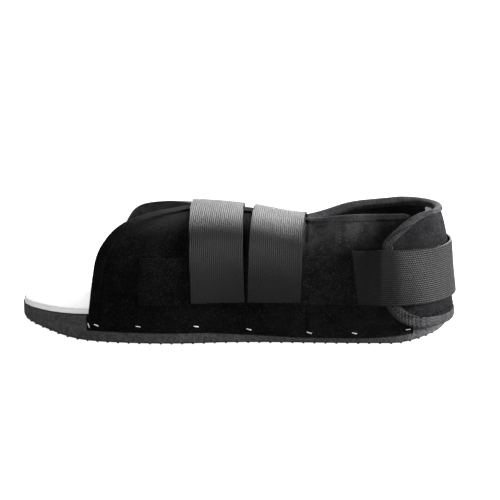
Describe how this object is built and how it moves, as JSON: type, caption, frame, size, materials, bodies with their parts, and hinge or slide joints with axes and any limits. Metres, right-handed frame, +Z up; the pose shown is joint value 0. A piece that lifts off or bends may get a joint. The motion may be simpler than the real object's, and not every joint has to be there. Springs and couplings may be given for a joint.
{
  "type": "post operative shoe",
  "caption": "Post operative shoe with a studded rocker sole, an open black fabric wrap upper, two instep straps and an ankle strap",
  "frame": {"origin": "on the floor plane under the middle of the sole's length, on its centre line, where a flat bottomed tread stud stands", "axes": "+X towards the heel along the sole, the toe at -X, -Y towards the side where the straps close, +Z up from the floor"},
  "size_m": [0.3122, 0.1127, 0.0939],
  "materials": {
    "sole_rubber": "matt, finely speckled",
    "insole_foam": "smooth, matt white",
    "upper_pile": "short brushed pile, matt",
    "binding_braid": "ribbed braid, matt",
    "strap_webbing": "fine weave, matt",
    "white_tape": "plain weave, matt"
  },
  "bodies": {
    "root": {"outsole": "sole_rubber", "insole": "insole_foam", "upper": "upper_pile", "binding_near_flap": "binding_braid", "binding_far_flap": "binding_braid", "binding_ridge": "binding_braid", "binding_near_collar": "binding_braid", "binding_heel_wrap": "binding_braid", "loop_pad": "upper_pile", "instep_strap_front": "strap_webbing", "instep_strap_rear": "strap_webbing", "ankle_strap": "strap_webbing", "inner_tab": "white_tape"}
  },
  "joints": []
}
